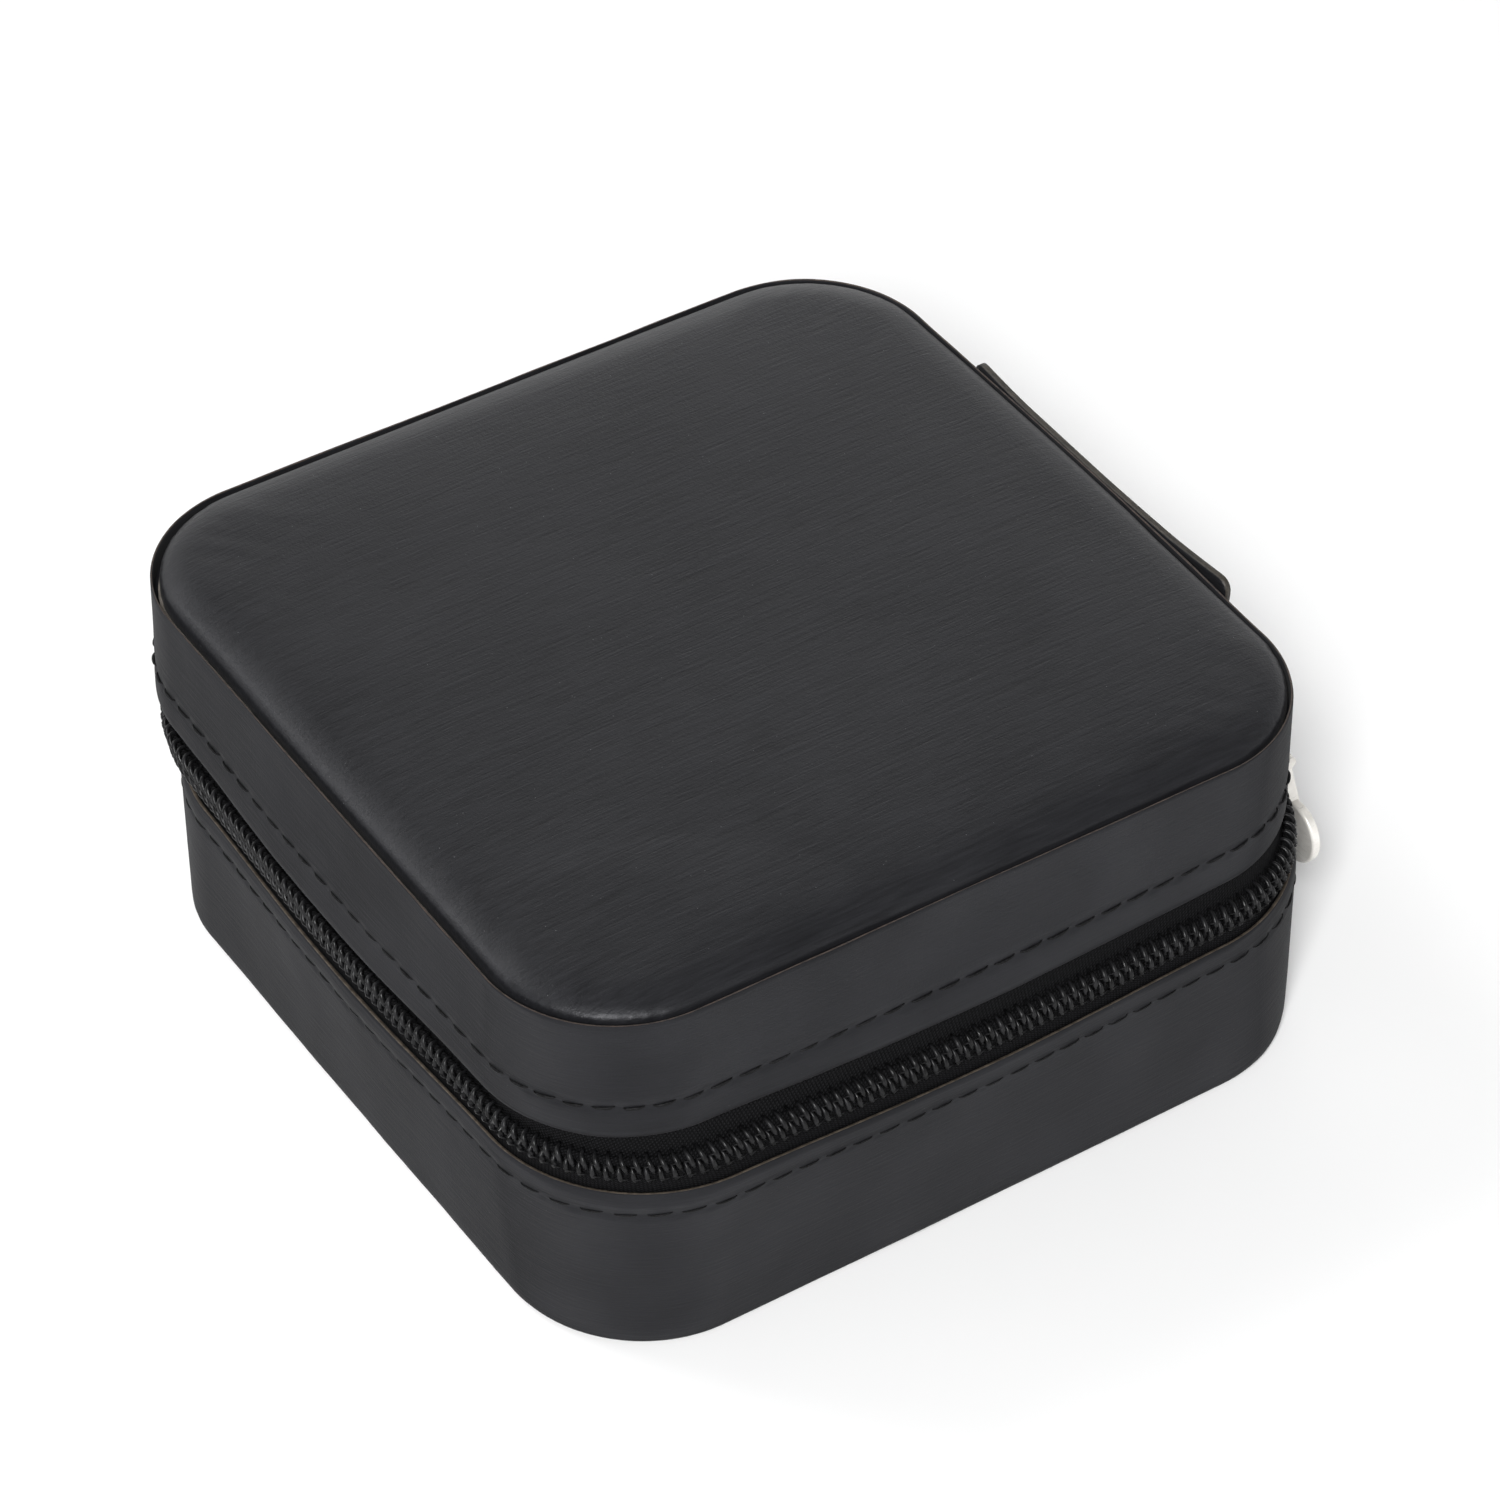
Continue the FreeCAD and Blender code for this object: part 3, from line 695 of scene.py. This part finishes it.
# ------------------------------------------------------------------ zip
# Stations of the chain: from the rear face next to the strap, round the front, to the slider.
def station_near(x, y):
    p = place(S, np.full(STATIONS, CHAIN_Z), 0, band_shape)
    return S[np.argmin(np.hypot(p[:, 0] - x, p[:, 1] - y))]


rear_y = base_high[1]
CHAIN_FROM = station_near(-30.0, rear_y)
CHAIN_TO = station_near(31.0, rear_y)
TAPE_FROM = station_near(STRAP_LOW[0] + 1, rear_y)
TAPE_TO = station_near(STRAP_HIGH[0] - 1, rear_y)
TAPE_OUT = -1.05
TAPE_THICK = 0.6


def tape(name, node, z_free, z_sewn, shape, body):
    """Woven tape, flat in the seam and of one thickness out to its free edge."""
    s = np.linspace(TAPE_FROM, TAPE_TO, 760)
    direction = 1 if z_free > z_sewn else -1
    z_line = np.linspace(z_sewn, z_free, 15)
    outer = [(TAPE_OUT + 0.05 * math.sin(i * 0.9), z) for i, z in enumerate(z_line)]
    inner = [(TAPE_OUT - TAPE_THICK, z) for z in z_line[::-1]]
    profile = outer + inner
    past = np.clip((s - CHAIN_TO) / 3.0, 0, 1)
    retreat = direction * 1.85 * past * past * (3 - 2 * past)
    grid = []
    for out, z in profile:
        share = abs(z - z_sewn) / abs(z_free - z_sewn)
        grid.append(place(s, z - retreat * share ** 2, out, shape))
    obj = sweep(name, np.array(grid), s, TAPE, loop=False)
    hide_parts(node)
    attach(obj, body)


tape("zip_tape_low", "zip_tape_lower", CHAIN_Z - 0.03, EDGE_Z - 4.7, band_shape, "base")
tape("zip_tape_high", "zip_tape_upper", CHAIN_Z + 0.03, LID_Z + 4.7, band_shape, "lid")


def coil(name, node, side, body):
    """One half of the coil chain: bent filament loops hooked over the middle line."""
    count = int((CHAIN_TO - CHAIN_FROM) / TOOTH)
    centre = CHAIN_FROM + TOOTH * (np.arange(count) + (0.25 if side > 0 else 0.75))
    # across the chain from the middle line, along it, and out from the tape
    turn = np.array([
        (-0.44, 0.04, 0.50), (-0.34, 0.04, 0.80), (-0.08, 0.03, 1.02), (0.24, 0.02, 1.14),
        (0.58, 0.0, 1.16), (0.90, -0.02, 1.08), (1.14, -0.03, 0.88), (1.26, -0.03, 0.56),
        (1.26, -0.03, 0.10)])
    s = centre[:, None] + turn[None, :, 1] * side
    z = COIL_Z + side * turn[None, :, 0] + 0 * s
    out = TAPE_OUT + turn[None, :, 2] + 0 * s
    paths = place(s, z, out, band_shape)
    obj = tubes(paths, 0.33, 10, NYLON, name)
    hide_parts(node)
    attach(obj, body)


coil("zip_coil_low", "zip_coil_lower", -1, "base")
coil("zip_coil_high", "zip_coil_upper", 1, "lid")


def coil_sewing(name, side, body):
    """Thread that holds the coil to the tape: one slanted stitch over every tooth."""
    count = int((CHAIN_TO - CHAIN_FROM) / TOOTH)
    centre = CHAIN_FROM + TOOTH * (np.arange(count) + (0.25 if side > 0 else 0.75))
    along = np.linspace(-1, 1, 7)
    s = centre[:, None] + along[None] * 0.62 - 0.2 * side
    z = COIL_Z + side * (0.72 + 0.12 * along[None]) + 0 * s
    out = TAPE_OUT + 1.36 - 0.34 * np.abs(along[None]) ** 2 + 0 * s
    obj = tubes(place(s, z, out, band_shape), 0.11, 6, THREAD, name)
    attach(obj, body)


def coil_cord(name, side, body):
    """Filler cord that runs inside the coil."""
    s = np.linspace(CHAIN_FROM, CHAIN_TO, 700)
    a = np.arange(12) * 2 * np.pi / 12
    grid = np.array([place(s, COIL_Z + side * (0.64 + 0.42 * math.cos(k)),
                           TAPE_OUT + 0.46 + 0.38 * math.sin(k), band_shape) for k in a])
    obj = sweep(name, grid, s, TAPE, loop=False)
    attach(obj, body)


coil_cord("coil_cord_low", -1, "base")
coil_cord("coil_cord_high", 1, "lid")
coil_sewing("coil_sewing_low", -1, "base")
coil_sewing("coil_sewing_high", 1, "lid")


# ------------------------------------------------------------------ strap hinge
def rear_surface(x, z):
    """Y of the case's rear face at (x, z), and of the straight run across the zip."""
    y_base = base_shape(np.minimum(z, EDGE_Z))[1] + REAR_BOW
    y_lid = (lid_shape(np.maximum(z, LID_Z))[1] + LID_REAR_BOW - 0.1 + LID_BACK
             + (x - SHIFT) * math.sin(LID_TURN))
    t = np.clip((z - EDGE_Z) / (LID_Z - EDGE_Z), 0, 1)
    return y_base * (1 - t) + y_lid * t


def strap_back(x, z):
    """Back of the strap: glued flat, but its upper edge has sprung off the lid, most at +X."""
    end = np.clip(1 - (strap_size[0] / 2 - np.abs(x - strap_centre[0])) / 11.0, 0, 1)
    half = np.clip((x - strap_centre[0]) / (strap_size[0] / 2), 0, 1)
    free = np.clip((z - 31.0) / (STRAP_HIGH[2] - 31.0), 0, 1)
    return rear_surface(x, z) + 0.04 + (0.5 * end ** 1.5 + 0.7 * half ** 1.5) * free ** 1.3


def slab(name, size, corner, edge, thick, y_of, centre, mats, pillow=0.0, step=0.6):
    """Upright leather patch: rounded outline, rounded edge, following y_of(x, z)."""
    w, h = size
    cols, rows = int(w / step) | 1, int(h / step) | 1
    gx, gz = np.meshgrid(np.linspace(-1, 1, cols), np.linspace(-1, 1, rows))
    x, z = gx * w / 2, gz * h / 2
    over_x = np.maximum(np.abs(x) - (w / 2 - corner), 0)
    over_z = np.maximum(np.abs(z) - (h / 2 - corner), 0)
    box = np.maximum(over_x, over_z)
    round_ = np.hypot(over_x, over_z)
    squeeze = np.where(round_ > 0, box / np.maximum(round_, 1e-9), 1.0)
    x = np.sign(x) * (np.minimum(np.abs(x), w / 2 - corner) + over_x * squeeze)
    z = np.sign(z) * (np.minimum(np.abs(z), h / 2 - corner) + over_z * squeeze)
    to_edge = np.minimum(w / 2 - np.abs(gx * w / 2), h / 2 - np.abs(gz * h / 2))
    inward = np.where(box > 0, corner - box, to_edge)
    e = np.clip(inward / edge, 0, 1)
    face = np.sqrt(np.clip(1 - (1 - e) ** 2, 0, 1))
    crown = pillow * np.clip(inward / 8.0, 0, 1)
    xx, zz = centre[0] + x, centre[1] + z
    back = y_of(xx, zz)
    front = back + thick * (0.7 + 0.3 * face) + crown
    outer = np.stack([xx, front, zz], -1).reshape(-1, 3)
    inner = np.stack([xx, back, zz], -1).reshape(-1, 3)
    n = rows * cols
    faces = []
    for i in range(rows - 1):
        for j in range(cols - 1):
            a = i * cols + j
            quad = (a, a + 1, a + cols + 1, a + cols)
            faces += [quad, tuple(n + k for k in quad[::-1])]
    rim = ([j for j in range(cols)] + [i * cols + cols - 1 for i in range(1, rows)]
           + [(rows - 1) * cols + j for j in range(cols - 2, -1, -1)]
           + [i * cols for i in range(rows - 2, 0, -1)])
    for a, b in zip(rim, rim[1:] + rim[:1]):
        faces.append((a, n + a, n + b, b))
    border = len(faces) - len(rim)
    obj = new_object(name, np.concatenate([outer, inner]), faces, mats,
                     [int(i >= border) for i in range(len(faces))])
    face_outward(obj)
    return obj


strap_size = (STRAP_HIGH[0] - STRAP_LOW[0] + 0.8, STRAP_HIGH[2] - STRAP_LOW[2] + 0.2)
strap_centre = ((STRAP_HIGH[0] + STRAP_LOW[0] - 0.8) / 2,
                (STRAP_HIGH[2] + STRAP_LOW[2] + 0.2) / 2)
strap = slab("strap", strap_size, 1.6, 0.5, 1.05, strap_back, strap_centre,
             [STRAP, STRAP_EDGE], pillow=0.15)
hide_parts("hinge_strap")
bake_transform(strap)


def strap_stitches(name, z_from, z_to, body):
    """Stitching just inside the strap's edge, on one side of the fold."""
    inset = 2.4
    x0, x1 = STRAP_LOW[0] + inset, STRAP_HIGH[0] - inset
    closed = z_to if body == "lid" else z_from
    opened = z_from if body == "lid" else z_to
    corners = [(x0, opened), (x0, closed), (x1, closed), (x1, opened)]
    centres = []
    for (ax, az), (bx, bz) in zip(corners, corners[1:]):
        length = math.hypot(bx - ax, bz - az)
        n = max(1, int(round(length / STITCH)))
        for i in range(n):
            t = (i + 0.5) / n
            centres.append((ax + (bx - ax) * t, az + (bz - az) * t,
                            (bx - ax) / length, (bz - az) / length))
    along = np.linspace(-1, 1, 9)
    lift = 0.17 * (1 - along ** 4) - 0.22 * np.abs(along) ** 6
    paths = []
    for x, z, dx, dz in centres:
        px = x + along * 1.2 * dx - 0.2 * along * dz
        pz = z + along * 1.2 * dz + 0.2 * along * dx
        paths.append(np.stack([px, strap_back(px, pz) + 1.12 + lift, pz], -1))
    obj = tubes(np.array(paths), 0.2, 7, THREAD, name)
    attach(obj, body)


strap_stitches("strap_stitching_base", STRAP_LOW[2] + 2.2, EDGE_Z - 1.0, "base")
strap_stitches("strap_stitching_lid", LID_Z + 1.0, STRAP_HIGH[2] - 2.2, "lid")


def hinge_fabric():
    low, high = box_mm("hinge_tape")
    s0, s1 = station_near(low[0], rear_y), station_near(high[0], rear_y)
    s = np.concatenate([np.linspace(s1, AROUND, 40)[:-1], np.linspace(AROUND, AROUND + s0, 40)])
    z_line = np.linspace(low[2], high[2], 40)
    profile = [(TAPE_OUT, z) for z in z_line] + [(TAPE_OUT - TAPE_THICK, z) for z in z_line[::-1]]
    grid = np.array([place(s, z, out, band_shape) for out, z in profile])
    obj = sweep("hinge_fabric", grid, s, TAPE, loop=False)
    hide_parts("hinge_tape")
    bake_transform(obj)


hinge_fabric()


# ------------------------------------------------------------------ padded inside pieces
def copy_node(node, name, mat):
    obj = bpy.data.objects.new(name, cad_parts[node].data.copy())
    bpy.context.scene.collection.objects.link(obj)
    obj.data.materials.clear()
    obj.data.materials.append(mat)
    return obj


rolls = copy_node("ring_rolls", "ring_cushions", VELVET)
remesh(rolls, 0.9)
floor_z = box_mm("ring_rolls")[0][2]
puff(rolls, 4.0, 0.5, lambda p: np.where(p[:, 2] < floor_z + 1.0, 1.0, 0.0))
relax(rolls, 6)
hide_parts("ring_rolls")
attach(rolls, "base")


def padded_frame():
    """Velvet frame round the mirror: soft crowned border, tucked in at the glass."""
    low, high = box_mm("mirror_frame")
    glass_low, glass_high = box_mm("mirror")
    hx, hy = (high[0] - low[0]) / 2, (high[1] - low[1]) / 2
    gx = (glass_high[0] - glass_low[0]) / 2 - 0.6
    s = S[::4]
    rows = []
    steps = [(0.0, 0.0), (0.02, 0.45), (0.1, 0.8), (0.28, 0.97), (0.5, 1.0), (0.72, 0.97),
             (0.9, 0.8), (0.98, 0.45), (1.0, 0.1)]
    for t, rise in steps:
        border = (hx + (gx - hx) * t, hy + (gx - hy) * t, 12.5 + (5.4 - 12.5) * t,
                  SHIFT, 0.0, 0.0, 0.0, 0.0)
        row = place(s, 0 * s, 0, lambda z: border)
        row[:, 2] = high[2] - 0.05 - rise * (high[2] - low[2])
        rows.append(row)
    back = rows[-1].copy()
    back[:, 2] = high[2] - 0.05
    grid = np.array(rows + [back])
    obj = sweep("mirror_surround", grid, s, PALE_VELVET)
    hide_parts("mirror_frame")
    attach(obj, "lid")


padded_frame()

bottom = copy_node("base_bottom_leather", "bottom_panel", BOTTOM)
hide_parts("base_bottom_leather")
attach(bottom, "base")

# ------------------------------------------------------------------ CAD pieces that stay
KEPT = {
    "base_bottom_board": BOARD, "base_wall_board": DARK_BOARD, "lid_top_board": BOARD,
    "lid_wall_board": DARK_BOARD, "tray_floor": VELVET, "tray_wall": VELVET,
    "tray_cross_wall": VELVET, "divider_front": VELVET, "divider_rear": VELVET,
    "lid_wall_lining": PALE_VELVET, "lid_ceiling_lining": PALE_VELVET, "mirror": MIRROR,
    "zip_bottom_stop": METAL, "slider_body": METAL, "pull_tab": SATIN}
for node, mat in KEPT.items():
    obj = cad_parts[node]
    for slot in obj.material_slots:
        slot.material = mat
    if not obj.material_slots:
        obj.data.materials.append(mat)
for node, width in (("slider_body", 0.16), ("pull_tab", 0.45), ("zip_bottom_stop", 0.16)):
    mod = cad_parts[node].modifiers.new("soft_edges", "BEVEL")
    mod.width = width * MM
    mod.segments = 4
    mod.limit_method = "ANGLE"

# ------------------------------------------------------------------ floor, light and camera
floor_mesh = bpy.data.meshes.new("floor")
reach = 2.5
floor_mesh.from_pydata([(-reach, -reach, 0), (reach, -reach, 0), (reach, reach, 0),
                        (-reach, reach, 0)], [], [(0, 1, 2, 3)])
floor = bpy.data.objects.new("floor", floor_mesh)
bpy.context.scene.collection.objects.link(floor)
paper = Shader("floor_paper")
tooth = paper.noise(paper.coords("object", (0.02, 0.02, 0.02)), detail=3)
paper_white = paper.blend(paper.ramp(tooth, 0.3, 0.7), (0.93, 0.93, 0.93), (0.95, 0.95, 0.95))
paper.set(Base_Color=paper_white, Roughness=0.9, Specular_IOR_Level=0.1)
floor_mesh.materials.append(paper.mat)

world = bpy.data.worlds.new("studio")
bpy.context.scene.world = world
world.use_nodes = True
sky = world.node_tree
facing = sky.nodes.new("ShaderNodeTexCoord")
split = sky.nodes.new("ShaderNodeSeparateXYZ")
sky.links.new(facing.outputs["Generated"], split.inputs[0])


def sky_math(op, a, b):
    n = sky.nodes.new("ShaderNodeMath")
    n.operation = op
    for i, v in enumerate((a, b)):
        if isinstance(v, float):
            n.inputs[i].default_value = v
        else:
            sky.links.new(v, n.inputs[i])
    return n.outputs[0]


# dim overhead, brighter toward the walls of the white room
low_down = sky_math("SUBTRACT", 1.0, split.outputs["Z"])
strength = sky_math("ADD", sky_math("MULTIPLY", low_down, 0.45), 0.14)
strength = sky_math("ADD", strength, sky_math("MULTIPLY", sky_math("POWER", low_down, 5.0), 1.5))
sky.nodes["Background"].inputs["Color"].default_value = (1.0, 1.0, 1.0, 1.0)
sky.links.new(strength, sky.nodes["Background"].inputs["Strength"])


def softbox(name, where, aim, size, power):
    light = bpy.data.lights.new(name, "AREA")
    light.shape = "RECTANGLE"
    light.size, light.size_y = size
    light.energy = power
    obj = bpy.data.objects.new(name, light)
    obj.location = where
    obj.rotation_euler = (Vector(aim) - Vector(where)).to_track_quat("-Z", "Y").to_euler()
    bpy.context.scene.collection.objects.link(obj)


softbox("key_box", (0.82, -0.68, 1.05), (0, 0, 0.03), (0.42, 0.42), 22.0)
softbox("left_box", (-0.95, -0.48, 1.05), (0, 0, 0.04), (0.55, 0.55), 6.0)
softbox("rear_box", (-1.0, 0.66, 0.50), (0, 0, 0.04), (0.5, 0.5), 1.1)

camera_data = bpy.data.cameras.new("camera")
camera = bpy.data.objects.new("camera", camera_data)
bpy.context.scene.collection.objects.link(camera)
azimuth, elevation, roll = math.radians(56.317), math.radians(41.905), math.radians(0.443)
away = Vector((math.sin(azimuth) * math.cos(elevation), -math.cos(azimuth) * math.cos(elevation),
               math.sin(elevation)))
look = Vector((15.0, -7.9, 45.0)) * MM
camera.location = look + away * 0.65512
camera.rotation_euler = ((-away).to_track_quat("-Z", "Y").to_matrix()
                         @ Matrix.Rotation(roll, 3, "Z")).to_euler()
camera_data.sensor_width = 36.0
camera_data.lens = 36.0 * 6065.98 / 1500
camera_data.clip_start = 0.01
bpy.context.scene.camera = camera
bpy.context.scene.view_settings.view_transform = "Standard"
